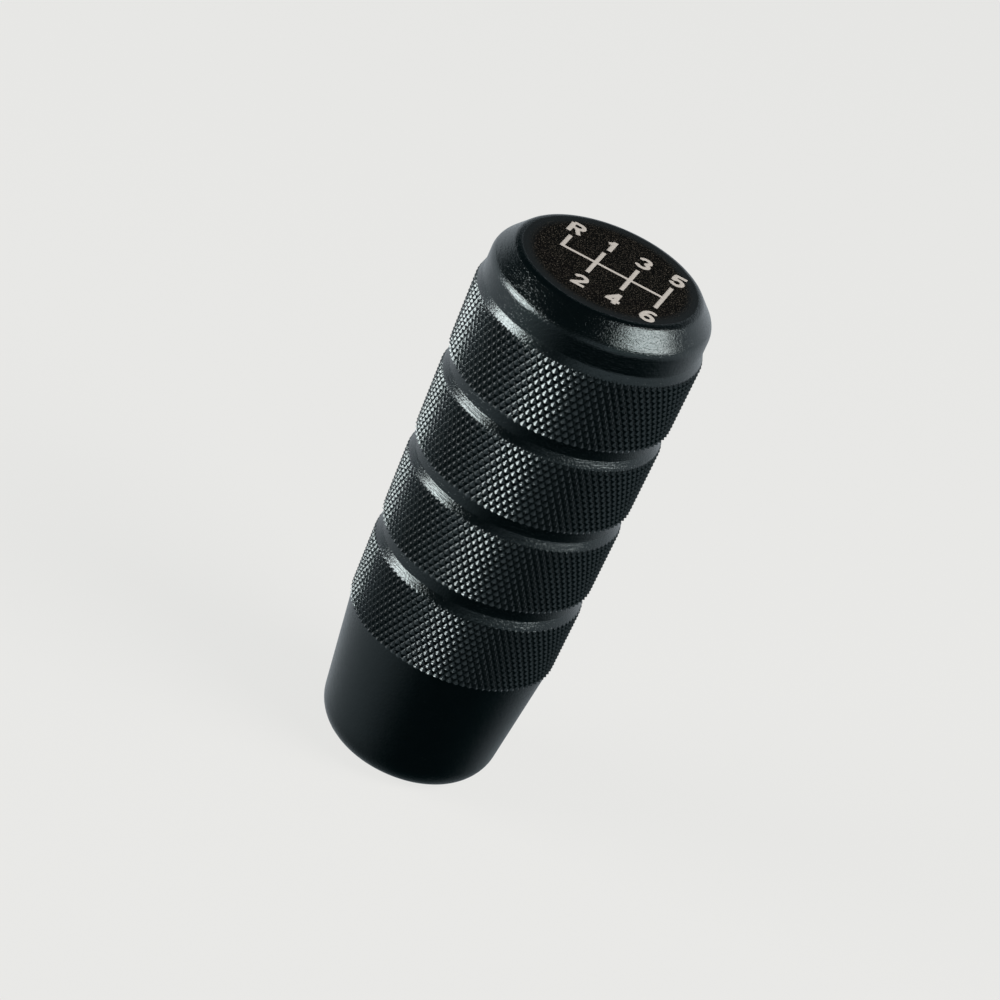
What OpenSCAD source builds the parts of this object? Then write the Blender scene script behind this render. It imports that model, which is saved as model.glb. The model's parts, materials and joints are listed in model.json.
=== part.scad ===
/* [Grip] */
// Diameter over the knurl's crests at the top of the uppermost band
grip_top_d = 38; // [34:0.5:46]
// Diameter over the knurl's crests at the bottom of the lowest band
grip_base_d = 35.2; // [32:0.1:44]
// Number of knurled bands
band_count = 4; // [2:1:6]
// Height of one knurled band
band_h = 11.8; // [8:0.1:16]
// Height of the smooth groove between two bands
groove_h = 4.2; // [3:0.1:7]
// Depth of the groove's floor below the knurl's crests
groove_depth = 1.1; // [0.8:0.1:2]
// Height of the smooth flare that leads from a groove's floor out to the band below
groove_flare_h = 1.6; // [0.8:0.1:1.8]
// Radius of the coves in a groove's floor
groove_cove = 0.3; // [0.2:0.05:0.6]

/* [Knurl] */
// Number of diamonds around the grip
knurl_count = 72; // [48:2:76]
// Height of a diamond from valley to crest
knurl_depth = 0.36; // [0.2:0.01:0.6]
// Angle between the knurl's grooves and the knob's axis
knurl_angle = 30; // [25:1:40]

/* [Head] */
// Diameter of the smooth neck and of the rim above it
rim_d = 36.4; // [32:0.1:44]
// Height from the uppermost band to the rim's upper corner
neck_h = 6.2; // [4:0.1:10]
// Height of the smooth flare between the neck and the uppermost band
neck_flare_h = 2.1; // [1:0.1:3]
// Diameter of the flat top face, measured to the corner of its bevel
top_d = 29.8; // [24:0.1:31]
// Height of the bevel between the flat top and the rim
bevel_h = 3.2; // [2:0.1:5]
// Radius of the rim's corner
rim_round = 2.2; // [0.4:0.1:2.4]
// Radius of the flat top's edge
top_round = 1.6; // [0.4:0.1:2]

/* [Collar] */
// Height of the smooth collar below the lowest band
collar_h = 24.7; // [20:0.1:40]
// Diameter of the collar's cone where it meets the base plane
collar_base_d = 28.6; // [27:0.1:32]
// Radius of the base's edge
base_round = 6.3; // [3:0.1:6.5]

/* [Lever socket] */
// Outer diameter of the thread adapter that screws into the base
adapter_d = 14; // [13.5:0.5:15]
// Length of the thread adapter
adapter_l = 24; // [16:0.5:40]
// Diameter of the adapter's lever thread, as bored
lever_bore_d = 8.5; // [6.8:0.1:10.5]
// Diameter of the relief bore above the adapter
relief_d = 10.5; // [8:0.5:11.5]
// Depth of the relief bore's straight wall above the adapter
relief_l = 12; // [6:0.5:40]
// Depth of the adapter's lower face inside the base
adapter_recess = 0.5; // [0:0.1:2]
// Width of the driver slot across the adapter's lower face
slot_w = 1.8; // [1:0.1:3]
// Depth of the driver slot
slot_depth = 2; // [1:0.1:3]
// Chamfer at the adapter's ends and at the socket's mouth
edge_chamfer = 0.6; // [0.3:0.1:1]
// Radial clearance between the adapter and its socket
socket_clearance = 0.05; // [0.02:0.01:0.1]

/* [Hidden] */

$fn = 96;
// Steps in each rounded corner of the turned outline
arc_steps = 8;
// Length that a cut runs past the surface it opens
overrun = 1;
// Plain land left beside each knurled band, and its depth below the valleys
land_h = 0.1;
land_sink = 0.06;
// Point angle of the drill that makes the relief bore
drill_point = 118;

band_step = band_h + groove_h;
grip_z = collar_h;
grip_h = band_count * band_step - groove_h;
rim_z = grip_z + grip_h + neck_h;
top_z = rim_z + bevel_h;

// Radius over the crests, of the valleys and of the plain lands at a height on the grip
function crest_r(z) = (grip_base_d + (grip_top_d - grip_base_d) * (z - grip_z) / grip_h) / 2;
function valley_r(z) = crest_r(z) - knurl_depth;
function land_r(z) = valley_r(z) - land_sink;
function band_z(i) = grip_z + i * band_step;

// Direction of a unit normal at an angle above the horizontal
function normal(a) = [cos(a), sin(a)];

// Arc that rounds the corner p between two faces whose outward normals lie at a0 and a1;
// a falling angle makes a cove
function rounded(p, a0, a1, r) =
    let (turn = a1 - a0)
    let (side = turn > 0 ? 1 : -1)
    let (centre = p - side * r / cos(turn / 2) * normal((a0 + a1) / 2))
    [for (i = [0 : arc_steps]) centre + side * r * normal(a0 + turn * i / arc_steps)];

// Base edge and the collar's leaning wall, up to the lowest band
function collar_outline() =
    let (wall = [collar_base_d / 2, 0])
    let (lean = atan((land_r(grip_z) - wall[0]) / collar_h))
    concat([[0, 0]], rounded(wall, -90, -lean, base_round), [[land_r(grip_z), grip_z]]);

// Smooth flare above a band's upper edge at z, which ends at radius r
function flare_outline(z, r, h, cove) =
    let (foot = [land_r(z), z + land_h])
    let (lean = atan((foot[0] - r) / h))
    concat([[land_r(z), z], foot], rounded([r, foot[1] + h], lean, 0, cove));

// Groove that begins at the upper edge of the band below it
function groove_outline(z) =
    let (floor_r = crest_r(z + groove_h / 2) - groove_depth)
    let (shoulder = z + groove_h - land_h)
    concat(
        flare_outline(z, floor_r, groove_flare_h, groove_cove),
        rounded([floor_r, shoulder], 0, -90, groove_cove),
        [[land_r(z + groove_h), shoulder], [land_r(z + groove_h), z + groove_h]]
    );

// Neck, rim and bevel above the uppermost band
function head_outline() =
    let (rim_r = rim_d / 2)
    let (bevel = atan(bevel_h / (rim_r - top_d / 2)))
    concat(
        flare_outline(grip_z + grip_h, rim_r, neck_flare_h, groove_cove),
        rounded([rim_r, rim_z], 0, 90 - bevel, rim_round),
        rounded([top_d / 2, top_z], 90 - bevel, 90, top_round),
        [[0, top_z]]
    );

// Turned core, with every smooth surface of the knob
module core() {
    grooves = [for (i = [0 : band_count - 2]) each groove_outline(band_z(i) + band_h)];
    rotate_extrude()
        polygon(concat(collar_outline(), grooves, head_outline()));
}

// One band of diamonds between the heights z0 and z1. Two families of grooves cross on a
// grid of half pitches; crests and valleys alternate along each row, and both end rows are
// valleys, so the diamonds run out at the band's edges.
module knurled_band(z0, z1) {
    half_pitch = PI * crest_r((z0 + z1) / 2) / knurl_count;
    rows = round((z1 - z0) * tan(knurl_angle) / half_pitch);
    columns = 2 * knurl_count;
    function row_z(j) = z0 + (z1 - z0) * j / rows;
    function is_crest(i, j) = j > 0 && j < rows && (i + j) % 2 == 0;
    function point_r(i, j) = is_crest(i, j) ? crest_r(row_z(j)) : valley_r(row_z(j));
    function id(i, j) = j * columns + i % columns;
    points = [
        for (j = [0 : rows], i = [0 : columns - 1])
            let (r = point_r(i, j), a = 360 * i / columns)
            [r * cos(a), r * sin(a), row_z(j)]
    ];
    // Each grid cell is split along the valley that crosses it
    sides = [
        for (j = [0 : rows - 1], i = [0 : columns - 1])
            each (i + j) % 2 == 0
                ? [[id(i, j), id(i, j + 1), id(i + 1, j)], [id(i + 1, j), id(i, j + 1), id(i + 1, j + 1)]]
                : [[id(i, j), id(i, j + 1), id(i + 1, j + 1)], [id(i, j), id(i + 1, j + 1), id(i + 1, j)]]
    ];
    lower_end = [for (i = [0 : columns - 1]) id(i, 0)];
    upper_end = [for (i = [columns - 1 : -1 : 0]) id(i, rows)];
    polyhedron(points, concat(sides, [lower_end, upper_end]));
}

// Stepped blind hole for the adapter and for the lever's end
module lever_socket() {
    socket_r = adapter_d / 2 + socket_clearance;
    seat_z = adapter_recess + adapter_l;
    point_h = relief_d / 2 / tan(drill_point / 2);
    translate([0, 0, -overrun])
        cylinder(r = socket_r, h = seat_z + overrun);
    translate([0, 0, seat_z - overrun])
        cylinder(d = relief_d, h = relief_l + overrun);
    translate([0, 0, seat_z + relief_l])
        cylinder(d1 = relief_d, d2 = 0, h = point_h);
    translate([0, 0, -overrun])
        cylinder(r1 = socket_r + edge_chamfer + overrun, r2 = socket_r, h = edge_chamfer + overrun);
}

// Driver slot across the adapter's lower face
module driver_slot() {
    translate([-adapter_d, -slot_w / 2, -overrun])
        cube([2 * adapter_d, slot_w, slot_depth + overrun]);
}

// Turned knob with its knurled bands, in one piece
module body() {
    color([0.09, 0.105, 0.11])
        difference() {
            union() {
                core();
                for (i = [0 : band_count - 1])
                    knurled_band(band_z(i), band_z(i) + band_h);
            }
            lever_socket();
        }
}

// Bush that takes the lever's thread and seats on the step inside the socket
module thread_adapter() {
    outer_r = adapter_d / 2;
    inner_r = lever_bore_d / 2;
    color([0.78, 0.62, 0.3])
        translate([0, 0, adapter_recess])
            difference() {
                rotate_extrude()
                    polygon([
                        [inner_r + edge_chamfer, 0],
                        [outer_r - edge_chamfer, 0],
                        [outer_r, edge_chamfer],
                        [outer_r, adapter_l - edge_chamfer],
                        [outer_r - edge_chamfer, adapter_l],
                        [inner_r, adapter_l],
                        [inner_r, edge_chamfer]
                    ]);
                driver_slot();
            }
}

body();
thread_adapter();
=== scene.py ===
# Tall turned shift knob: four knurled bands, smooth collar, gate pattern cut into its flat top
import bpy
import bmesh
import json
from functools import partial
from math import pi, sin, cos, tan, atan2, degrees, radians
from mathutils import Vector, Matrix
from mathutils.geometry import delaunay_2d_cdt

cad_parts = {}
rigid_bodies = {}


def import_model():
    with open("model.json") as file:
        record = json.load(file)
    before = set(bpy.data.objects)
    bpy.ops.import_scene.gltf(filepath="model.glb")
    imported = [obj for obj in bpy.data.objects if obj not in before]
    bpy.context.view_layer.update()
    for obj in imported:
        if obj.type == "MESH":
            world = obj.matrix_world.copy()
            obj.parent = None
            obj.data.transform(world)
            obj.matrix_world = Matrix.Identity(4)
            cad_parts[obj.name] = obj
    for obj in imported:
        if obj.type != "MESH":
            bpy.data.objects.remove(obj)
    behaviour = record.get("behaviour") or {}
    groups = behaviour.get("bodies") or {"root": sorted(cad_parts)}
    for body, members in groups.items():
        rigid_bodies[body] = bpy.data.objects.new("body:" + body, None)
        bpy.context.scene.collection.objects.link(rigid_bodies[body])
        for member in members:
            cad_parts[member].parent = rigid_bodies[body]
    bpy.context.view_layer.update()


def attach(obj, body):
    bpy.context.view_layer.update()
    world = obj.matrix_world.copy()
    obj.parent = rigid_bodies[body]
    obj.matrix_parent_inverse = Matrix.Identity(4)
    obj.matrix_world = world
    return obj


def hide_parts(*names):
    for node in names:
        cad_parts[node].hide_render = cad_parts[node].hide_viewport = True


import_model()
scene = bpy.context.scene
mm = 0.001
weld = 0.002 * mm             # points of a wrapped grid that lie closer than this are one

# Sizes of the turned body in millimetres, as in the part's source. Only the neck, the bevel and the
# top's width are set up to 0.6 mm apart from it, where the highlights in the photo ask for it
knob = {
    "gripTopDiameter": 38.0,
    "gripBaseDiameter": 35.2,
    "bandCount": 4,
    "bandHeight": 11.8,
    "grooveHeight": 4.2,
    "grooveDepth": 1.1,
    "rimDiameter": 36.4,
    "neckHeight": 5.9,
    "topDiameter": 30.4,
    "bevelHeight": 3.5,
    "rimRound": 2.2,
    "topRound": 1.6,
    "collarHeight": 24.7,
    "collarBaseDiameter": 28.6,
    "collarStep": 0.42,       # the collar's upper edge lies this far under the crests
    "baseRound": 6.3,
    "socketDiameter": 14.1,
    "socketDepth": 24.5,
    "reliefDiameter": 10.5,
    "reliefDepth": 12.0,
    "drillPoint": 118,
    "mouthChamfer": 0.6,
    "stemRadius": 15.5,       # plain stem that carries the knurled sleeves
    "topInset": 0.05,         # the flat top's outline lies this far inside its rounded edge
    "collarSteps": 12,
    "roundSteps": 14,
    "segments": 384,
    "sharpAngle": 40,
    "weld": 0.0005,
}

bandStep = knob["bandHeight"] + knob["grooveHeight"]
gripBottom = knob["collarHeight"]
gripTop = gripBottom + knob["bandCount"] * bandStep - knob["grooveHeight"]
rimZ = gripTop + knob["neckHeight"]
topZ = rimZ + knob["bevelHeight"]
gripTaper = (knob["gripTopDiameter"] - knob["gripBaseDiameter"]) / 2 / (gripTop - gripBottom)


def crestRadius(z):
    return knob["gripBaseDiameter"] / 2 + gripTaper * (z - gripBottom)


# Helpers for node trees and meshes
def wire(tree, value, socket):
    if isinstance(value, bpy.types.NodeSocket):
        tree.links.new(value, socket)
    else:
        socket.default_value = value


def calc(tree, operation, *values):
    node = tree.nodes.new("ShaderNodeMath")
    node.operation = operation
    for place, value in enumerate(values):
        wire(tree, value, node.inputs[place])
    return node.outputs[0]


def blend(tree, factor, low, high):
    node = tree.nodes.new("ShaderNodeMapRange")
    for label, value in (("Value", factor), ("To Min", low), ("To Max", high)):
        wire(tree, value, node.inputs[label])
    return node.outputs[0]


def addNode(tree, kind, settings=(), **inputs):
    node = tree.nodes.new(kind)
    for label, value in dict(settings).items():
        setattr(node, label, value)
    for label, value in inputs.items():
        wire(tree, value, node.inputs[label.replace("_", " ")])
    return node


def soften(tree, value, start, end):
    return addNode(tree, "ShaderNodeMapRange", {"interpolation_type": "SMOOTHSTEP"}, Value=value,
                   From_Min=start, From_Max=end).outputs[0]


def mix(tree, kind, factor, first, second):
    node = addNode(tree, "ShaderNodeMix", {"data_type": kind}, Factor=factor)
    sockets = [socket for socket in node.inputs if socket.type == kind and socket.name in ("A", "B")]
    for socket, value in zip(sockets, (first, second)):
        wire(tree, value, socket)
    return [socket for socket in node.outputs if socket.type == kind][0]


def meshPlace(tree):
    place = tree.nodes.new("GeometryNodeInputPosition").outputs[0]
    return addNode(tree, "ShaderNodeSeparateXYZ", Vector=place).outputs


def axisDistance(tree, axes):
    return calc(tree, "SQRT", calc(tree, "ADD", calc(tree, "MULTIPLY", axes["X"], axes["X"]),
                                   calc(tree, "MULTIPLY", axes["Y"], axes["Y"])))


def newTree(name, inputs):
    tree = bpy.data.node_groups.new(name, "GeometryNodeTree")
    tree.interface.new_socket("Geometry", in_out="OUTPUT", socket_type="NodeSocketGeometry")
    for label, kind in inputs:
        tree.interface.new_socket(label, in_out="INPUT", socket_type="NodeSocket" + kind)
    return tree, tree.nodes.new("NodeGroupInput").outputs, tree.nodes.new("NodeGroupOutput")


def placePiece(name, mesh, sharpAngle=None):
    mesh.name = name
    if sharpAngle is not None:
        mesh.shade_smooth()
        mesh.set_sharp_from_angle(angle=radians(sharpAngle))
    piece = bpy.data.objects.new(name, mesh)
    scene.collection.objects.link(piece)
    return piece


def growPiece(name, tree, values, sharpAngle=None):
    carrier = bpy.data.objects.new(name + "Carrier", bpy.data.meshes.new(name + "Carrier"))
    scene.collection.objects.link(carrier)
    modifier = carrier.modifiers.new("grow", "NODES")
    modifier.node_group = tree
    for item in tree.interface.items_tree:
        if item.in_out == "INPUT" and item.name in values:
            modifier[item.identifier] = values[item.name]
    bpy.context.view_layer.update()
    mesh = bpy.data.meshes.new_from_object(carrier.evaluated_get(bpy.context.evaluated_depsgraph_get()))
    carrier.modifiers.clear()
    bpy.data.objects.remove(carrier)
    return placePiece(name, mesh, sharpAngle)


# Finishes; sizes and depths in millimetres
finish = {
    "coatColour": (0.0008, 0.0015, 0.0017),
    "coatRoughness": (0.13, 0.23),
    "coatTint": (0.80, 0.98, 1.0, 1),
    "mottleSize": 2.5,
    "crinkleSize": 0.34,      # width of the coat's crinkles
    "crinkleDepth": 0.05,
    "knurlCrinkle": 0.015,
    "lineSize": 0.24,         # width of the turning lines under the coat
    "lineDepth": 0.03,
    "lineTurns": 7,
    "topColour": (0.0022, 0.0020, 0.0015),
    "topRoughness": (0.55, 0.45),
    "topSheen": (0.02, 0.10),
    "topReach": (12.0, 14.0), # the brown of the top face fades into the ring between these radii
    # the ring's colour is a painted reflection, lighter and bluer than the coat, not a colour of its own
    "paintedRingReflection": (0.0042, 0.0060, 0.0064),
    "speckColour": (0.064, 0.057, 0.045),
    "speckSize": 0.22,
    "speckStops": (0.38, 0.57, 0.70),
    "speckDepth": 0.02,
    "markColour": (0.52, 0.497, 0.453),
    "markRoughness": 0.6,
    "grainSize": 0.35,
    "grainDepth": 0.02,
    "brassColour": (0.72, 0.53, 0.24),
    "brassRoughness": (0.22, 0.38),
    "stainSize": 3.0,
    "cutSpacing": 0.5,        # distance between the tool's rings in the brass
    "cutDepth": 0.01,
}


def newMaterial(name):
    material = bpy.data.materials.new(name)
    material.use_nodes = True
    tree = material.node_tree
    place = tree.nodes.new("ShaderNodeTexCoord").outputs["Object"]
    return material, tree, tree.nodes["Principled BSDF"], place


def noise(tree, place, size, detail=2.0, roughness=0.5, distortion=0.0):
    return addNode(tree, "ShaderNodeTexNoise", Vector=place, Scale=1 / (size * mm), Detail=detail,
                   Roughness=roughness, Distortion=distortion).outputs["Fac"]


def bump(tree, height, depth, normal=None):
    node = addNode(tree, "ShaderNodeBump", Height=height, Strength=1.0, Distance=depth * mm)
    if normal is not None:
        tree.links.new(normal, node.inputs["Normal"])
    return node.outputs["Normal"]


def ramp(tree, value, *stops):
    node = tree.nodes.new("ShaderNodeValToRGB")
    tree.links.new(value, node.inputs[0])
    points = node.color_ramp.elements
    while len(points) < len(stops):
        points.new(0.5)
    for point, (position, colour) in zip(points, stops):
        point.position = position
        point.color = (*colour, 1)
    return node.outputs["Color"]


def shade(colour, factor):
    return tuple(channel * factor for channel in colour)


def mottled(tree, value, colour, dark, light):
    return ramp(tree, value, (0.3, shade(colour, dark)), (0.7, shade(colour, light)))


def turningLines(tree, place):
    axes = addNode(tree, "ShaderNodeSeparateXYZ", Vector=place).outputs
    radius = axisDistance(tree, axes)
    across = calc(tree, "DIVIDE", calc(tree, "SUBTRACT", axes["Z"], radius), finish["lineSize"] * mm)
    around = [calc(tree, "MULTIPLY", calc(tree, "DIVIDE", axes[axis], radius), finish["lineTurns"])
              for axis in "XY"]
    spot = addNode(tree, "ShaderNodeCombineXYZ", X=across, Y=around[0], Z=around[1]).outputs[0]
    lines = addNode(tree, "ShaderNodeTexNoise", Vector=spot, Scale=1.0, Detail=1.0, Roughness=0.5)
    return lines.outputs["Fac"]


def makeCoat(name, depth):
    material, tree, shader, place = newMaterial(name)
    mottle = noise(tree, place, finish["mottleSize"], 3)
    wire(tree, mottled(tree, mottle, finish["coatColour"], 0.8, 1.2), shader.inputs["Base Color"])
    crinkle = noise(tree, place, finish["crinkleSize"], distortion=1.0)
    wire(tree, blend(tree, crinkle, *finish["coatRoughness"]), shader.inputs["Roughness"])
    turned = bump(tree, turningLines(tree, place), finish["lineDepth"])
    wire(tree, bump(tree, crinkle, depth, turned), shader.inputs["Normal"])
    shader.inputs["Specular IOR Level"].default_value = 0.5
    shader.inputs["Specular Tint"].default_value = finish["coatTint"]
    return material


def makeTopCoat():
    material, tree, shader, place = newMaterial("mattTopFace")
    axes = addNode(tree, "ShaderNodeSeparateXYZ", Vector=place).outputs
    radius = axisDistance(tree, axes)
    edge = soften(tree, radius, *(reach * mm for reach in finish["topReach"]))
    specks = noise(tree, place, finish["speckSize"], 1)
    shades = (shade(finish["topColour"], 0.4), finish["topColour"], finish["speckColour"])
    matt = ramp(tree, specks, *zip(finish["speckStops"], shades))
    # towards the edge the brown gives way to the ring's painted reflection colour
    wire(tree, mix(tree, "RGBA", edge, matt, (*finish["paintedRingReflection"], 1)), shader.inputs["Base Color"])
    wire(tree, blend(tree, edge, *finish["topRoughness"]), shader.inputs["Roughness"])
    wire(tree, bump(tree, specks, finish["speckDepth"]), shader.inputs["Normal"])
    wire(tree, blend(tree, edge, *finish["topSheen"]), shader.inputs["Specular IOR Level"])
    return material


def makeMark():
    material, tree, shader, place = newMaterial("engravedMark")
    grain = noise(tree, place, finish["grainSize"], 3, 0.6)
    wire(tree, mottled(tree, grain, finish["markColour"], 0.86, 1.06), shader.inputs["Base Color"])
    wire(tree, bump(tree, grain, finish["grainDepth"]), shader.inputs["Normal"])
    shader.inputs["Roughness"].default_value = finish["markRoughness"]
    return material


def makeBrass():
    material, tree, shader, place = newMaterial("turnedBrass")
    rings = addNode(tree, "ShaderNodeTexWave", {"wave_type": "RINGS", "rings_direction": "Z"}, Vector=place,
                    Scale=1 / (finish["cutSpacing"] * mm), Distortion=1.5, Detail=2.0).outputs["Fac"]
    stain = noise(tree, place, finish["stainSize"], 4)
    wire(tree, mottled(tree, stain, finish["brassColour"], 0.8, 1.0), shader.inputs["Base Color"])
    wire(tree, blend(tree, stain, *finish["brassRoughness"]), shader.inputs["Roughness"])
    wire(tree, bump(tree, rings, finish["cutDepth"]), shader.inputs["Normal"])
    shader.inputs["Metallic"].default_value = 1.0
    return material


coat = makeCoat("crinkledCoat", finish["crinkleDepth"])
knurlCoat = makeCoat("knurlCoat", finish["knurlCrinkle"])
topCoat = makeTopCoat()
markPaint = makeMark()
brass = makeBrass()
print("finishes ready")

# Knurled sleeve: one band of diamonds, and the smooth groove above it, in millimetres
sleeve = {
    "diamonds": 96,
    "knurlAngle": 30,
    "knurlDepth": 0.36,
    "valleyShare": 0.1,       # share of the pitch that the shallow bottom of a groove takes
    "crestSink": 0.05,        # the crests lie this far inside the nominal grip
    "cellSteps": 5,           # mesh steps in half a diamond
    "flareHeight": 1.7,
    "flareLip": 0.02,         # the flare's lip lies this far under the crests
    "neckFlareHeight": 2.1,
    "neckOverlap": 0.6,
    "shoulderCove": 0.5,      # height of the cove below the next band
    "coveRise": 0.6,          # share of that height by which the cove stands out
    "stemOverlap": 0.05,      # the sleeve's inner wall lies this far inside the stem
    "sharpAngle": 25,
}


def sleeveTree():
    tree, given, out = newTree("knurledSleeve", [
        ("Diamonds", "Int"), ("Cell Steps", "Int"), ("Bottom", "Float"), ("Top", "Float"),
        ("Half Height", "Float"), ("Crest Radius", "Float"), ("Taper", "Float"),
        ("Knurl Depth", "Float"), ("Valley Share", "Float"), ("Floor Radius", "Float"),
        ("Flare Foot", "Float"), ("Flare Slope", "Float"), ("Shoulder Cove", "Float"),
        ("Inner Radius", "Float"), ("Band Top", "Float"), ("Coat", "Material"),
        ("Knurl Coat", "Material")])

    m = partial(calc, tree)
    steps, bottom, top = given["Cell Steps"], given["Bottom"], given["Top"]
    columns = m("MULTIPLY", m("MULTIPLY", given["Diamonds"], 2), steps)
    rowHeight = m("DIVIDE", given["Half Height"], steps)
    rows = m("CEIL", m("DIVIDE", m("SUBTRACT", top, bottom), rowHeight))
    lastRow = m("ADD", rows, 3)
    grid = addNode(tree, "GeometryNodeMeshGrid", Size_X=1.0, Size_Y=1.0, Vertices_X=m("ADD", columns, 1),
                   Vertices_Y=m("ADD", lastRow, 1))
    spot = meshPlace(tree)
    column = m("MULTIPLY", m("ADD", spot["X"], 0.5), columns)
    line = m("MULTIPLY", m("ADD", spot["Y"], 0.5), lastRow)
    row = m("SUBTRACT", line, 1)

    # Each mesh cell is split along the valley that crosses it
    parity = m("MODULO", m("ADD", m("FLOOR", m("DIVIDE", column, steps)),
                           m("ADD", m("FLOOR", m("DIVIDE", row, steps)), 2)), 2)
    kept = tree.nodes.new("GeometryNodeCaptureAttribute")
    kept.domain = "FACE"
    kept.capture_items.new("BOOLEAN", "Split")
    tree.links.new(grid.outputs["Mesh"], kept.inputs["Geometry"])
    tree.links.new(m("GREATER_THAN", parity, 0.5), kept.inputs["Split"])

    inner = m("MAXIMUM", m("LESS_THAN", line, 0.5), m("GREATER_THAN", row, m("ADD", rows, 0.5)))
    rise = m("MULTIPLY", m("MAXIMUM", m("MINIMUM", row, rows), 0), rowHeight)
    z = m("MINIMUM", m("ADD", bottom, rise), top)
    nearFoot = m("COMPARE", z, given["Flare Foot"], m("MULTIPLY", rowHeight, 0.5))
    z = blend(tree, nearFoot, z, given["Flare Foot"])
    z = blend(tree, m("GREATER_THAN", line, m("SUBTRACT", lastRow, 0.5)), z, bottom)

    # Two families of grooves cross; the lower wall of the two is what is left, over a shallow valley
    across = m("DIVIDE", m("ROUND", column), m("MULTIPLY", steps, 2))
    along = m("DIVIDE", m("ROUND", row), m("MULTIPLY", steps, 2))
    walls = [m("MULTIPLY", m("ABSOLUTE", m("SUBTRACT", m("FRACT", m(operation, across, along)), 0.5)), 2)
             for operation in ("ADD", "SUBTRACT")]
    diamond = m("DIVIDE", m("SUBTRACT", m("MINIMUM", *walls), given["Valley Share"]),
                m("SUBTRACT", 1, given["Valley Share"]))
    diamond = m("MAXIMUM", diamond, 0)
    crest = m("ADD", given["Crest Radius"], m("MULTIPLY", given["Taper"], m("SUBTRACT", z, bottom)))
    knurl = m("SUBTRACT", crest, m("MULTIPLY", given["Knurl Depth"], m("SUBTRACT", 1, diamond)))

    # The flare falls straight from the lip to the groove's floor
    drop = m("MAXIMUM", m("SUBTRACT", given["Flare Foot"], z), 0)
    shoulder = m("SUBTRACT", z, m("SUBTRACT", top, given["Shoulder Cove"]))
    shoulder = m("DIVIDE", m("MAXIMUM", shoulder, 0), m("MAXIMUM", given["Shoulder Cove"], 0.000001))
    rise = m("MULTIPLY", given["Shoulder Cove"], sleeve["coveRise"])
    shoulder = m("MULTIPLY", m("MULTIPLY", shoulder, shoulder), rise)
    flare = m("ADD", m("ADD", given["Floor Radius"], m("MULTIPLY", given["Flare Slope"], drop)), shoulder)
    radius = blend(tree, inner, m("MINIMUM", knurl, flare), given["Inner Radius"])

    turn = m("MULTIPLY", m("DIVIDE", column, columns), 2 * pi)
    place = addNode(tree, "ShaderNodeCombineXYZ", X=m("MULTIPLY", radius, m("COSINE", turn)),
                    Y=m("MULTIPLY", radius, m("SINE", turn)), Z=z)
    shaped = addNode(tree, "GeometryNodeSetPosition", Geometry=kept.outputs["Geometry"],
                     Position=place.outputs[0])
    closed = addNode(tree, "GeometryNodeMergeByDistance", Geometry=shaped.outputs[0], Distance=weld)
    splitA = addNode(tree, "GeometryNodeTriangulate", {"quad_method": "FIXED_ALTERNATE"},
                     Mesh=closed.outputs[0], Selection=kept.outputs["Split"])
    splitB = addNode(tree, "GeometryNodeTriangulate", {"quad_method": "FIXED"}, Mesh=splitA.outputs[0])
    real = addNode(tree, "GeometryNodeRealizeInstances", Geometry=splitB.outputs[0])
    coated = addNode(tree, "GeometryNodeSetMaterial", Geometry=real.outputs[0], Material=given["Coat"])
    onBand = m("LESS_THAN", meshPlace(tree)["Z"], given["Band Top"])
    finished = addNode(tree, "GeometryNodeSetMaterial", Geometry=coated.outputs[0],
                       Material=given["Knurl Coat"], Selection=onBand)
    tree.links.new(finished.outputs[0], out.inputs[0])
    return tree


knurlTree = sleeveTree()
bodyPieces = []
for band in range(knob["bandCount"]):
    bottom = gripBottom + band * bandStep
    bandTop = bottom + knob["bandHeight"]
    uppermost = band == knob["bandCount"] - 1
    grooveMiddle = bandTop + knob["grooveHeight"] / 2
    floor = knob["rimDiameter"] / 2 if uppermost else crestRadius(grooveMiddle) - knob["grooveDepth"]
    lip = crestRadius(bandTop) - sleeve["crestSink"] - sleeve["flareLip"]
    flareHeight = sleeve["neckFlareHeight"] if uppermost else sleeve["flareHeight"]
    top = bandTop + flareHeight + sleeve["neckOverlap"] if uppermost else bottom + bandStep
    piece = growPiece("knurledBand%d" % (band + 1), knurlTree, {
        "Diamonds": sleeve["diamonds"],
        "Cell Steps": sleeve["cellSteps"],
        "Bottom": bottom * mm,
        "Top": top * mm,
        "Half Height": pi * crestRadius(bottom + knob["bandHeight"] / 2) / sleeve["diamonds"]
                       / tan(radians(sleeve["knurlAngle"])) * mm,
        "Crest Radius": (crestRadius(bottom) - sleeve["crestSink"]) * mm,
        "Taper": gripTaper,
        "Knurl Depth": sleeve["knurlDepth"] * mm,
        "Valley Share": sleeve["valleyShare"],
        "Floor Radius": floor * mm,
        "Flare Foot": (bandTop + flareHeight) * mm,
        "Flare Slope": (lip - floor) / flareHeight,
        "Shoulder Cove": 0.0 if uppermost else sleeve["shoulderCove"] * mm,
        "Inner Radius": (knob["stemRadius"] - sleeve["stemOverlap"]) * mm,
        "Band Top": bandTop * mm,
        "Coat": coat,
        "Knurl Coat": knurlCoat,
    }, sleeve["sharpAngle"])
    bodyPieces.append(piece)
print("knurled bands:", len(bodyPieces), "of", len(bodyPieces[0].data.polygons), "faces")

# Gate pattern, seen from above with forward up, in millimetres
gate = {
    "columns": [-8.85, -2.95, 2.95, 8.85],
    "reach": 4.3,             # half the length of a bar
    "barWidth": 0.74,
    "lineWidth": 0.70,
    "upperRow": 7.35,
    "lowerRow": 7.75,
    "glyphHeight": 3.85,
    "glyphWidth": 2.75,
    "stroke": 0.84,
    "centre": (0.4, -0.2),
    "depth": 0.16,
    "fillBelow": 0.04,        # the paint lies this far under the top face
    "arcSteps": 14,
    "ringSteps": 28,
    "bendSteps": 16,          # corners of the disc that rounds a bend
    "shortest": 0.0001,       # a stretch shorter than this is left out
    "weld": 0.00001,
}


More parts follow.
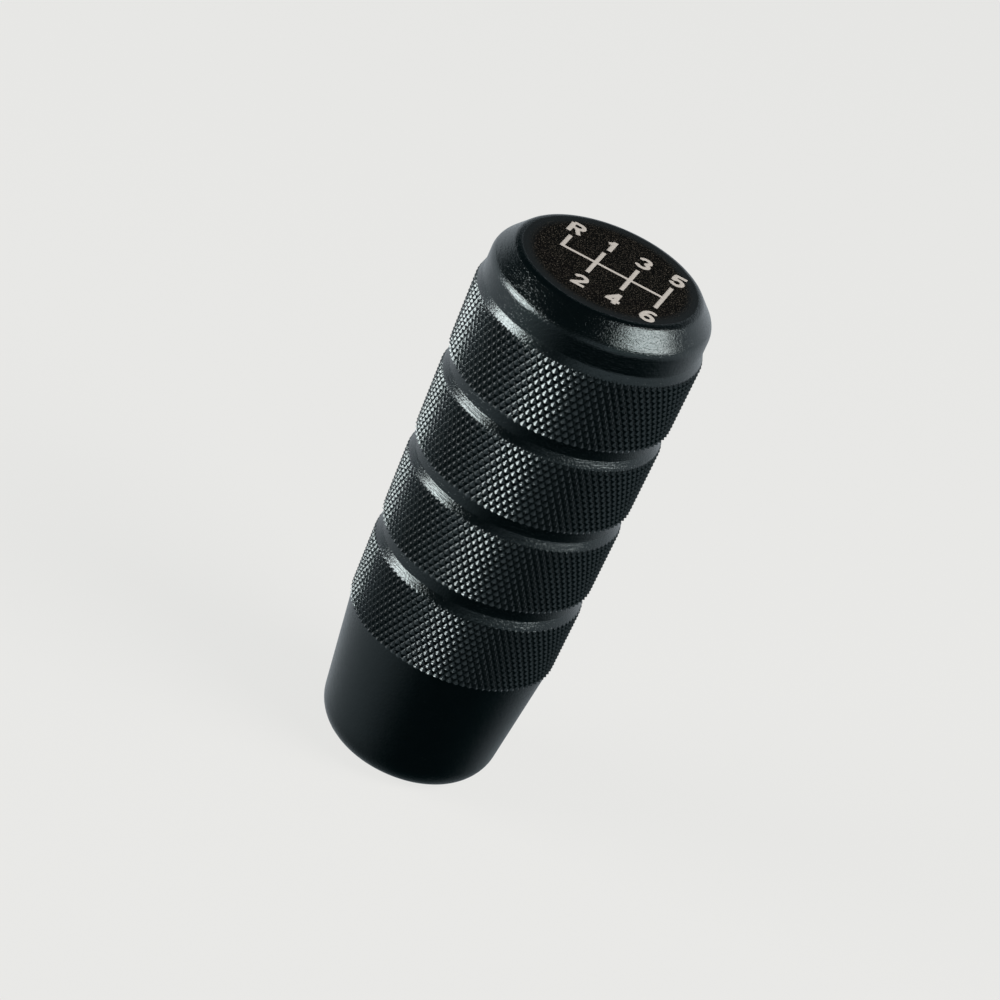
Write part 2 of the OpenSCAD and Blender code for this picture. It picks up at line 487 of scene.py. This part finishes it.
def arc(cx, cy, rx, ry, start, end, count=gate["arcSteps"]):
    return [(cx + rx * cos(radians(start + (end - start) * i / count)),
             cy + ry * sin(radians(start + (end - start) * i / count))) for i in range(count + 1)]


# Centre lines of each glyph; across runs from -1 to 1 and up from -1 to 1
glyphs = {
    "R": [[(-1, -1.27), (-1, 1)], [(-1, 1), (0.2, 1)] + arc(0.2, 0.48, 0.8, 0.52, 90, -90) + [(-1, -0.04)],
          [(0.02, -0.04), (0.92, -1.27)]],
    "1": [[(0.35, -1.27), (0.35, 1.27)], [(0.35, 1.0), (-0.05, 0.62), (-0.62, 0.42)]],
    "2": [arc(0.0, 0.42, 0.93, 0.58, 168, -25) + [(-0.85, -1.0)], [(-1.2, -1), (1.3, -1)]],
    "3": [arc(-0.02, 0.5, 0.86, 0.5, 165, -75), arc(-0.02, -0.5, 0.98, 0.5, 80, -165)],
    "4": [[(0.45, -1.27), (0.45, 1.27)], [(0.4, 1.0), (-0.98, -0.5)], [(-1.3, -0.55), (1.3, -0.55)]],
    "5": [[(1.2, 1), (-0.68, 1), (-0.82, 0.05)], [(-0.82, 0.1)] + arc(0.0, -0.38, 0.98, 0.62, 140, -165)],
    "6": [arc(0.0, -0.45, 0.95, 0.55, 0, 360, gate["ringSteps"]), arc(0.28, -0.35, 1.23, 1.35, 185, 62)],
}


def strokeShapes(points, width):
    shapes = []
    for (ax, ay), (bx, by) in zip(points, points[1:]):
        length = ((bx - ax) ** 2 + (by - ay) ** 2) ** 0.5
        if length < gate["shortest"]:
            continue
        nx, ny = -(by - ay) / length * width / 2, (bx - ax) / length * width / 2
        shapes.append([(ax - nx, ay - ny), (bx - nx, by - ny), (bx + nx, by + ny), (ax + nx, ay + ny)])
    turns = [2 * pi * k / gate["bendSteps"] for k in range(gate["bendSteps"])]
    for x, y in points[1:-1]:
        shapes.append([(x + width / 2 * cos(a), y + width / 2 * sin(a)) for a in turns])
    return shapes


def gateShapes():
    columns, reach = gate["columns"], gate["reach"]
    shapes = strokeShapes([(columns[0] - gate["barWidth"] / 2, 0), (columns[-1], 0)], gate["lineWidth"])
    shapes += strokeShapes([(columns[0], -gate["lineWidth"] / 2), (columns[0], reach)], gate["barWidth"])
    for x in columns[1:]:
        shapes += strokeShapes([(x, -reach), (x, reach)], gate["barWidth"])
    halfWidth = (gate["glyphWidth"] - gate["stroke"]) / 2
    halfHeight = (gate["glyphHeight"] - gate["stroke"]) / 2
    rowNames = (("R135", columns, gate["upperRow"]), ("246", columns[1:], -gate["lowerRow"]))
    for letters, places, y in rowNames:
        for letter, x in zip(letters, places):
            for path in glyphs[letter]:
                spots = [(x + px * halfWidth, y + py * halfHeight) for px, py in path]
                shapes += strokeShapes(spots, gate["stroke"])
    cx, cy = gate["centre"]
    return [[(x + cx, y + cy) for x, y in shape] for shape in shapes]


# The flat top as triangles; those under a mark are told apart
def topPattern(ring):
    shapes = [ring] + gateShapes()
    points, faces = [], []
    for shape in shapes:
        faces.append(list(range(len(points), len(points) + len(shape))))
        points += [Vector(p) for p in shape]
    flat, _, triangles, _, _, parents = delaunay_2d_cdt(points, [], faces, 1, gate["weld"])
    marked = [any(parent > 0 for parent in owner) for owner in parents]
    return flat, [list(t) for t in triangles], marked


# Edges where a mark meets the plain top, in the order of the mark's triangles
def markEdges(triangles, marked):
    owners = {}
    for triangle, sunk in zip(triangles, marked):
        for a, b in zip(triangle, triangle[1:] + triangle[:1]):
            owners.setdefault((min(a, b), max(a, b)), []).append((sunk, a, b))
    edges = []
    for entries in owners.values():
        if len(entries) == 2 and entries[0][0] != entries[1][0]:
            edges.append(entries[0][1:] if entries[0][0] else entries[1][1:])
    return edges


# Turned outline as (radius, height), with corners rounded between two face directions
def rounded(corner, a0, a1, radius):
    half = radians(a1 - a0) / 2
    middle = radians(a0 + a1) / 2
    side = 1 if half > 0 else -1
    cx = corner[0] - side * radius / cos(half) * cos(middle)
    cz = corner[1] - side * radius / cos(half) * sin(middle)
    angles = [radians(a0 + (a1 - a0) * i / knob["roundSteps"]) for i in range(knob["roundSteps"] + 1)]
    return [(cx + side * radius * cos(a), cz + side * radius * sin(a)) for a in angles]


def turnedOutline():
    socket, relief = knob["socketDiameter"] / 2, knob["reliefDiameter"] / 2
    wall = knob["collarBaseDiameter"] / 2
    collarTop = crestRadius(gripBottom) - knob["collarStep"]
    lean = degrees(atan2(collarTop - wall, knob["collarHeight"]))
    neck, topRadius = knob["rimDiameter"] / 2, knob["topDiameter"] / 2
    bevel = degrees(atan2(knob["bevelHeight"], neck - topRadius))
    neckStart = gripTop + sleeve["neckFlareHeight"] + sleeve["neckOverlap"]
    reliefTop = knob["socketDepth"] + knob["reliefDepth"]
    points = [(0, reliefTop + relief / tan(radians(knob["drillPoint"] / 2))), (relief, reliefTop),
              (relief, knob["socketDepth"]), (socket, knob["socketDepth"]), (socket, knob["mouthChamfer"]),
              (socket + knob["mouthChamfer"], 0)]
    points += rounded((wall, 0), -90, -lean, knob["baseRound"])
    steps = knob["collarSteps"]
    foot = points[-1]
    points += [(foot[0] + (collarTop - foot[0]) * i / steps, foot[1] + (gripBottom - foot[1]) * i / steps)
               for i in range(1, steps + 1)]
    points += [(knob["stemRadius"], gripBottom), (knob["stemRadius"], neckStart), (neck, neckStart)]
    points += rounded((neck, rimZ), 0, 90 - bevel, knob["rimRound"])
    points += rounded((topRadius, topZ), 90 - bevel, 90, knob["topRound"])
    points.append((points[-1][0] - knob["topInset"], topZ))
    return points


def vertexOf(mesh, made, flat, index, z):
    if (index, z) not in made:
        made[index, z] = mesh.verts.new((flat[index][0] * mm, flat[index][1] * mm, z * mm))
    return made[index, z]


def turnBody(outline, directions, flat, triangles, marked):
    count = len(directions)
    mesh = bmesh.new()
    rings = []
    for radius, z in outline:
        spots = directions if radius > 0 else directions[:1]
        rings.append([mesh.verts.new((radius * c * mm, radius * s * mm, z * mm)) for c, s in spots])
    for lower, upper in zip(rings, rings[1:]):
        for i in range(count):
            j = (i + 1) % count
            if len(lower) == 1:
                mesh.faces.new((lower[0], upper[j], upper[i]))
            else:
                mesh.faces.new((lower[i], lower[j], upper[j], upper[i]))

    # Flat top with the gate pattern sunk into it
    low = topZ - gate["depth"]
    made = {}
    topFaces = []
    for triangle, sunk in zip(triangles, marked):
        z = low if sunk else topZ
        topFaces.append(mesh.faces.new([vertexOf(mesh, made, flat, i, z) for i in triangle]))
    for a, b in markEdges(triangles, marked):
        corners = ((b, low), (a, low), (a, topZ), (b, topZ))
        topFaces.append(mesh.faces.new([vertexOf(mesh, made, flat, i, z) for i, z in corners]))
    for face in topFaces:
        face.material_index = 1
    bmesh.ops.remove_doubles(mesh, verts=mesh.verts, dist=knob["weld"] * mm)
    bmesh.ops.recalc_face_normals(mesh, faces=mesh.faces)
    data = bpy.data.meshes.new("knobBody")
    mesh.to_mesh(data)
    mesh.free()
    return data


# The marks' paint, a slab just under the top face
def fillMarks(flat, triangles, marked):
    slab = bmesh.new()
    low, high = topZ - gate["depth"], topZ - gate["fillBelow"]
    made = {}
    for triangle, sunk in zip(triangles, marked):
        if sunk:
            slab.faces.new([vertexOf(slab, made, flat, i, high) for i in triangle])
            slab.faces.new([vertexOf(slab, made, flat, i, low) for i in reversed(triangle)])
    for a, b in markEdges(triangles, marked):
        corners = ((a, low), (b, low), (b, high), (a, high))
        slab.faces.new([vertexOf(slab, made, flat, i, z) for i, z in corners])
    data = bpy.data.meshes.new("gateMarks")
    slab.to_mesh(data)
    slab.free()
    return data


outline = turnedOutline()
directions = [(cos(2 * pi * i / knob["segments"]), sin(2 * pi * i / knob["segments"]))
              for i in range(knob["segments"])]
pattern = topPattern([(outline[-1][0] * c, outline[-1][0] * s) for c, s in directions])
body = placePiece("knobBody", turnBody(outline, directions, *pattern), knob["sharpAngle"])
body.data.materials.append(coat)
body.data.materials.append(topCoat)
bodyPieces.append(body)
marks = placePiece("gateMarks", fillMarks(*pattern), knob["sharpAngle"])
marks.data.materials.append(markPaint)
print("turned body:", len(body.data.polygons), "faces; gate marks:", len(marks.data.polygons))

# Threaded adapter in the base: lever thread, outer wall and driver slot, in millimetres
adapter = {
    "outerDiameter": 14.0,
    "boreDiameter": 8.5,
    "rootDiameter": 10.1,
    "pitch": 1.5,
    "length": 24.0,
    "recess": 0.5,
    "chamfer": 0.6,
    "slotWidth": 1.8,
    "slotDepth": 2.0,
    "toothSlope": 1.35,       # how steep the thread's flanks are against a plain zigzag
    "toothFlat": 0.2,
    "threadFade": 1.2,        # chamfer heights over which the thread runs out
    "segments": 96,
    "rowsPerPitch": 8,
    "sharpAngle": 35,
}


def adapterTree():
    tree, given, out = newTree("threadedAdapter", [
        ("Segments", "Int"), ("Rows Per Pitch", "Int"), ("Bottom", "Float"), ("Length", "Float"),
        ("Pitch", "Float"), ("Bore Radius", "Float"), ("Root Radius", "Float"),
        ("Outer Radius", "Float"), ("Chamfer", "Float"), ("Slot Width", "Float"),
        ("Slot Depth", "Float"), ("Brass", "Material")])

    m = partial(calc, tree)
    def pick(index, choices):
        node = tree.nodes.new("GeometryNodeIndexSwitch")
        node.data_type = "FLOAT"
        while len(node.index_switch_items) < len(choices):
            node.index_switch_items.new()
        tree.links.new(index, node.inputs[0])
        for place, value in enumerate(choices):
            wire(tree, value, node.inputs[place + 1])
        return node.outputs[0]

    bottom, chamfer = given["Bottom"], given["Chamfer"]
    outer, bore = given["Outer Radius"], given["Bore Radius"]
    top = m("ADD", bottom, given["Length"])
    rows = m("ROUND", m("MULTIPLY", m("DIVIDE", given["Length"], given["Pitch"]), given["Rows Per Pitch"]))
    lastRow = m("ADD", rows, 5)
    grid = addNode(tree, "GeometryNodeMeshGrid", Size_X=1.0, Size_Y=1.0,
                   Vertices_X=m("ADD", given["Segments"], 1), Vertices_Y=m("ADD", lastRow, 1))
    spot = meshPlace(tree)
    share = m("ADD", spot["X"], 0.5)
    row = m("MULTIPLY", m("ADD", spot["Y"], 0.5), lastRow)

    # The bore's rows run downwards, then the outer wall's run up
    inBore = m("LESS_THAN", row, m("ADD", rows, 0.5))
    fall = m("MULTIPLY", m("DIVIDE", m("MINIMUM", row, rows), rows), given["Length"])
    boreZ = m("SUBTRACT", top, fall)
    phase = m("FRACT", m("SUBTRACT", m("DIVIDE", boreZ, given["Pitch"]), share))
    tooth = m("MULTIPLY", m("ABSOLUTE", m("SUBTRACT", phase, 0.5)), 2)
    tooth = m("SUBTRACT", m("MULTIPLY", tooth, adapter["toothSlope"]), adapter["toothFlat"])
    tooth = m("MAXIMUM", m("MINIMUM", tooth, 1), 0)
    nearEnd = m("MINIMUM", fall, m("SUBTRACT", given["Length"], fall))
    fade = m("MINIMUM", m("DIVIDE", nearEnd, m("MULTIPLY", chamfer, adapter["threadFade"])), 1)
    thread = m("ADD", bore, m("MULTIPLY", m("SUBTRACT", given["Root Radius"], bore), tooth))
    mouth = m("ADD", bore, m("MULTIPLY", chamfer, m("SUBTRACT", 1, fade)))
    boreRadius = m("MAXIMUM", thread, mouth)
    corner = addNode(tree, "FunctionNodeFloatToInt", {"rounding_mode": "ROUND"},
                     Float=m("MAXIMUM", m("SUBTRACT", m("SUBTRACT", row, rows), 1), 0)).outputs[0]
    slim = m("SUBTRACT", outer, chamfer)
    wallRadius = pick(corner, [slim, outer, outer, slim, m("ADD", bore, chamfer)])
    wallZ = pick(corner, [bottom, m("ADD", bottom, chamfer), m("SUBTRACT", top, chamfer), top, top])
    radius = blend(tree, inBore, wallRadius, boreRadius)
    z = blend(tree, inBore, wallZ, boreZ)
    turn = m("MULTIPLY", share, 2 * pi)
    place = addNode(tree, "ShaderNodeCombineXYZ", X=m("MULTIPLY", radius, m("COSINE", turn)),
                    Y=m("MULTIPLY", radius, m("SINE", turn)), Z=z)
    shaped = addNode(tree, "GeometryNodeSetPosition", Geometry=grid.outputs["Mesh"],
                     Position=place.outputs[0])
    closed = addNode(tree, "GeometryNodeMergeByDistance", Geometry=shaped.outputs[0], Distance=weld)

    slotSize = addNode(tree, "ShaderNodeCombineXYZ", X=m("MULTIPLY", outer, 3), Y=given["Slot Width"],
                       Z=m("MULTIPLY", given["Slot Depth"], 2))
    slotPlace = addNode(tree, "ShaderNodeCombineXYZ", Z=bottom)
    cutter = addNode(tree, "GeometryNodeMeshCube", Size=slotSize.outputs[0])
    moved = addNode(tree, "GeometryNodeTransform", Geometry=cutter.outputs["Mesh"],
                    Translation=slotPlace.outputs[0])
    cut = addNode(tree, "GeometryNodeMeshBoolean", {"operation": "DIFFERENCE", "solver": "EXACT"})
    tree.links.new(closed.outputs[0], cut.inputs["Mesh 1"])
    tree.links.new(moved.outputs[0], cut.inputs["Mesh 2"])
    real = addNode(tree, "GeometryNodeRealizeInstances", Geometry=cut.outputs["Mesh"])
    turned = addNode(tree, "GeometryNodeSetMaterial", Geometry=real.outputs[0], Material=given["Brass"])
    tree.links.new(turned.outputs[0], out.inputs[0])
    return tree


bush = growPiece("threadAdapter", adapterTree(), {
    "Segments": adapter["segments"],
    "Rows Per Pitch": adapter["rowsPerPitch"],
    "Bottom": adapter["recess"] * mm,
    "Length": adapter["length"] * mm,
    "Pitch": adapter["pitch"] * mm,
    "Bore Radius": adapter["boreDiameter"] / 2 * mm,
    "Root Radius": adapter["rootDiameter"] / 2 * mm,
    "Outer Radius": adapter["outerDiameter"] / 2 * mm,
    "Chamfer": adapter["chamfer"] * mm,
    "Slot Width": adapter["slotWidth"] * mm,
    "Slot Depth": adapter["slotDepth"] * mm,
    "Brass": brass,
}, adapter["sharpAngle"])
print("thread adapter:", len(bush.data.polygons), "faces")

for piece in bodyPieces:
    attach(piece, "root")
    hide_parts("body")
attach(marks, "root")
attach(bush, "root")
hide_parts("thread_adapter")

# Studio: camera, pale floor, two soft lamps and the walls' glow, in millimetres and degrees
studio = {
    "turn": 8.16,             # the gate pattern is read from this far to the left of the camera
    "distance": 644.2,
    "height": 413.8,
    "pitch": 29.53,
    "yaw": -0.1,
    "roll": 24.07,
    "lens": 168.77,
    "sensor": 36,
    "clipStart": 10,
    "backdrop": (0.804, 0.805, 0.790),
    "floorReach": 3000,
    "floorRoughness": 0.9,
    "floorSheen": 0.1,
    "floorShare": 0.07,       # share of the floor's tone that takes shadows
    "lamps": [
        {"name": "leftLamp", "towards": (-0.90, -0.32, 0.14), "along": (-0.3, 0.95, 0),
         "size": (480, 440), "power": 15.5},
        {"name": "rightLamp", "towards": (0.71, -0.15, 0.68), "along": (0.50, 0.77, -0.39),
         "size": (620, 350), "power": 9.5},
    ],
    "lampDistance": 900,
    "lampTarget": 50,         # height that the lamps point at
    "lampColour": (1.0, 0.935, 0.912),
    "ambient": (0.014, 0.035, 0.040),
    "glowColour": (0.74, 0.78, 0.83),
    "glows": [                # soft light from the walls; turn is from the right towards the back
        {"turn": 170, "reach": (20, 95), "heights": (-1.2, 0.0, 0.05, 0.35), "strength": 1.1},
        {"turn": 45, "reach": (12, 66), "heights": (-0.65, -0.10, 0.30, 0.60), "strength": 0.88},
        {"turn": 75, "reach": (20, 70), "heights": (-1.1, -0.60, -0.40, 0.0), "strength": 0.25},
        {"turn": -45, "reach": (10, 60), "heights": (-0.35, 0.0, 0.25, 0.60), "strength": 0.9},
    ],
}

turnView = Matrix.Rotation(radians(studio["turn"]), 3, "Z")


def makeCamera():
    pitch, yaw, roll = (radians(studio[key]) for key in ("pitch", "yaw", "roll"))
    forward = Vector((sin(yaw) * cos(pitch), cos(yaw) * cos(pitch), -sin(pitch)))
    level = Vector((cos(yaw), -sin(yaw), 0))
    upright = level.cross(forward)
    right = cos(roll) * level + sin(roll) * upright
    up = -sin(roll) * level + cos(roll) * upright
    basis = turnView @ Matrix((right, up, -forward)).transposed()
    data = bpy.data.cameras.new("camera")
    data.lens = studio["lens"]
    data.sensor_width = studio["sensor"]
    data.clip_start = studio["clipStart"] * mm
    camera = bpy.data.objects.new("camera", data)
    place = turnView @ Vector((0, -studio["distance"] * mm, studio["height"] * mm))
    camera.matrix_world = Matrix.Translation(place) @ basis.to_4x4()
    scene.collection.objects.link(camera)
    scene.camera = camera


def makeLamps():
    target = Vector((0, 0, studio["lampTarget"] * mm))
    for lamp in studio["lamps"]:
        data = bpy.data.lights.new(lamp["name"], "AREA")
        data.shape = "RECTANGLE"
        data.size, data.size_y = (side * mm for side in lamp["size"])
        data.energy = lamp["power"]
        data.color = studio["lampColour"]
        light = bpy.data.objects.new(lamp["name"], data)
        towards = Vector(lamp["towards"]).normalized()
        across = towards.cross(Vector(lamp["along"])).normalized()
        basis = turnView @ Matrix((across.cross(towards), across, towards)).transposed()
        place = target + turnView @ towards * studio["lampDistance"] * mm
        light.matrix_world = Matrix.Translation(place) @ basis.to_4x4()
        light.visible_camera = False
        scene.collection.objects.link(light)


def makeFloor():
    mesh = bpy.data.meshes.new("studioFloor")
    reach = studio["floorReach"] * mm
    corners = [(-reach, -reach, 0), (reach, -reach, 0), (reach, reach, 0), (-reach, reach, 0)]
    mesh.from_pydata(corners, [], [(0, 1, 2, 3)])
    floor = bpy.data.objects.new("studioFloor", mesh)
    scene.collection.objects.link(floor)
    floor.visible_glossy = False
    floor.visible_diffuse = False
    material = bpy.data.materials.new("paleFloor")
    material.use_nodes = True
    tree = material.node_tree
    shader = tree.nodes["Principled BSDF"]
    shader.inputs["Base Color"].default_value = (*studio["backdrop"], 1)
    shader.inputs["Roughness"].default_value = studio["floorRoughness"]
    shader.inputs["Specular IOR Level"].default_value = studio["floorSheen"]
    glow = addNode(tree, "ShaderNodeEmission", Color=(*studio["backdrop"], 1), Strength=1.0)
    mixed = addNode(tree, "ShaderNodeMixShader")
    mixed.inputs[0].default_value = 1 - studio["floorShare"]
    tree.links.new(shader.outputs[0], mixed.inputs[1])
    tree.links.new(glow.outputs[0], mixed.inputs[2])
    tree.links.new(mixed.outputs[0], tree.nodes["Material Output"].inputs["Surface"])
    mesh.materials.append(material)


def makeWorld():
    world = bpy.data.worlds.new("studioWorld")
    world.use_nodes = True
    scene.world = world
    tree = world.node_tree
    back = tree.nodes["Background"]
    seen = addNode(tree, "ShaderNodeLightPath").outputs["Is Camera Ray"]
    facing = tree.nodes.new("ShaderNodeTexCoord").outputs["Generated"]
    turned = addNode(tree, "ShaderNodeVectorRotate", {"rotation_type": "Z_AXIS"}, Vector=facing,
                     Angle=radians(-studio["turn"]))
    axes = addNode(tree, "ShaderNodeSeparateXYZ", Vector=turned.outputs[0]).outputs
    level = axisDistance(tree, axes)
    light = 0.0
    for patch in studio["glows"]:
        turn = radians(patch["turn"])
        dot = calc(tree, "DIVIDE", calc(tree, "ADD", calc(tree, "MULTIPLY", axes["X"], cos(turn)),
                                        calc(tree, "MULTIPLY", axes["Y"], sin(turn))), level)
        inner, outer = patch["reach"]
        bottom, low, high, top = patch["heights"]
        around = soften(tree, dot, cos(radians(outer)), cos(radians(inner)))
        upright = calc(tree, "MULTIPLY", soften(tree, axes["Z"], bottom, low),
                       calc(tree, "SUBTRACT", 1.0, soften(tree, axes["Z"], high, top)))
        shape = calc(tree, "MULTIPLY", around, upright)
        light = calc(tree, "ADD", light, calc(tree, "MULTIPLY", shape, patch["strength"]))
    glow = addNode(tree, "ShaderNodeVectorMath", {"operation": "SCALE"}, Scale=light)
    glow.inputs[0].default_value = studio["glowColour"]
    total = addNode(tree, "ShaderNodeVectorMath", {"operation": "ADD"})
    tree.links.new(glow.outputs[0], total.inputs[0])
    total.inputs[1].default_value = studio["ambient"]
    # The camera sees a plain backdrop in place of the walls
    wire(tree, mix(tree, "VECTOR", seen, total.outputs[0], studio["backdrop"]), back.inputs["Color"])
    back.inputs["Strength"].default_value = 1.0


makeCamera()
makeLamps()
makeFloor()
makeWorld()
scene.view_settings.view_transform = "Standard"
print("studio ready")
